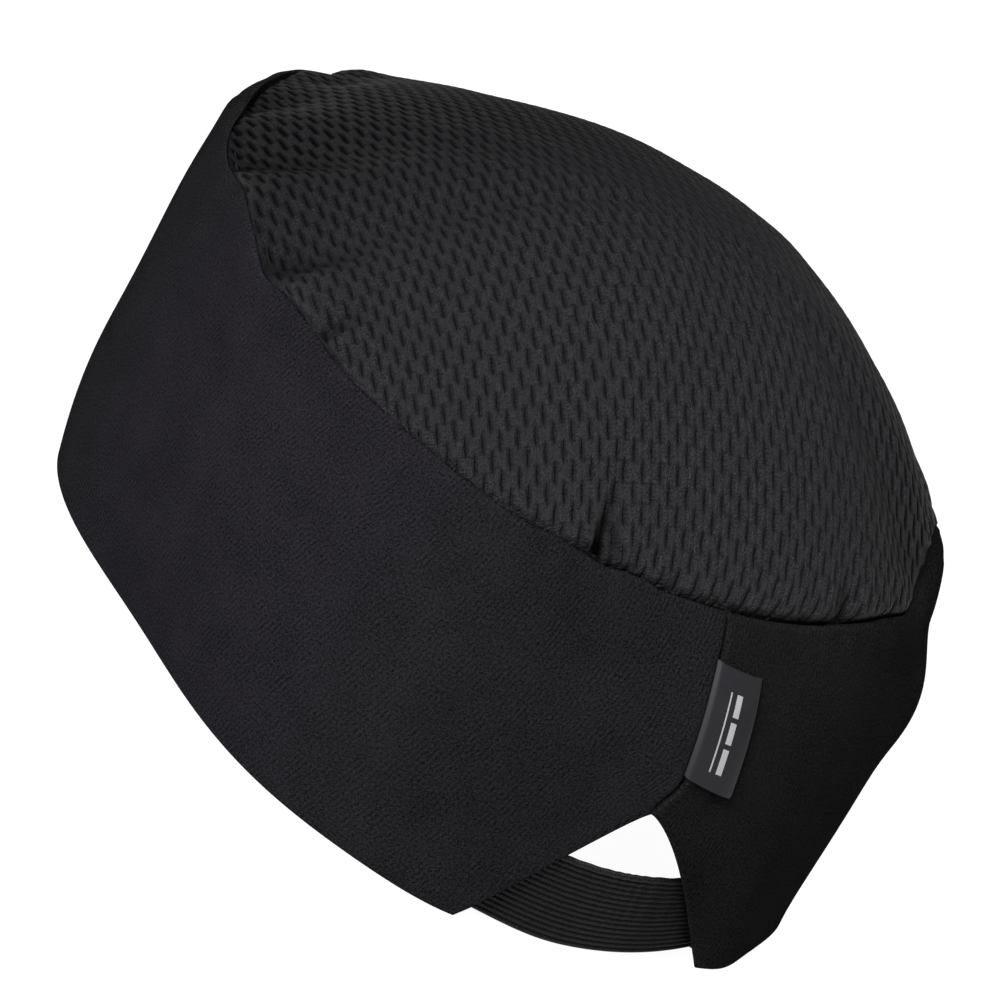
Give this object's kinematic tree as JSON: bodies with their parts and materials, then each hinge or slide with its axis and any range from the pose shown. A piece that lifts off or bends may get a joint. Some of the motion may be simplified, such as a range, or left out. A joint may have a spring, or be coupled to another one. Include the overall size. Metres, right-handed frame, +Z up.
{
  "type": "chef skull cap",
  "caption": "Low soft chef's skull cap: domed mesh crown on a deep pull-over side band, with a notch at the nape bridged by a ribbed elastic and a small side-sewn label tab.",
  "frame": {"origin": "centre of the cap's box in X and Y, at the level of the rim it stands on", "axes": "+Z up from the rim to the crown, -Y towards the forehead, +X towards the wearer's left"},
  "size_m": [0.1758, 0.21, 0.1235],
  "materials": {
    "band_twill": "matt black poly-cotton twill with a fine diagonal",
    "lining_cotton": "matt black plain-weave cotton",
    "crown_mesh": "black knitted airmesh with rows of small slit-shaped holes, slight sheen",
    "allowance_cloth": "matt black cloth layers, raw edge bound",
    "overlock_thread": "black textured polyester thread",
    "elastic_rib": "black woven elastic with lengthwise ribs",
    "sewing_thread": "black spun polyester thread, slight sheen",
    "label_satin": "dark grey woven satin label tape, soft sheen",
    "care_label_tape": "off-white satin tape, blank"
  },
  "bodies": {
    "cap": {"side_band_outer": "band_twill", "side_band_lining": "lining_cotton", "crown_panel": "crown_mesh", "crown_seam_allowance": "allowance_cloth", "allowance_overlock": "overlock_thread", "rear_elastic": "elastic_rib", "notch_topstitch": "sewing_thread", "elastic_stitch_left": "sewing_thread", "elastic_stitch_right": "sewing_thread"},
    "label": {"label_tab": "label_satin"},
    "care_tag": {"care_label": "care_label_tape"}
  },
  "joints": [
    {"name": "label_flip", "type": "hinge", "parent": "cap", "child": "label", "pos_m": [0.00078, 0.09637, 0.05381], "axis": [0, 0.4143, -0.9101], "range_deg": [0, 160]},
    {"name": "care_label_swing", "type": "hinge", "parent": "cap", "child": "care_tag", "pos_m": [0.02737, 0.07751, 0.07], "axis": [-0.9818, 0.1901, 0], "range_deg": [-8, 100]}
  ]
}
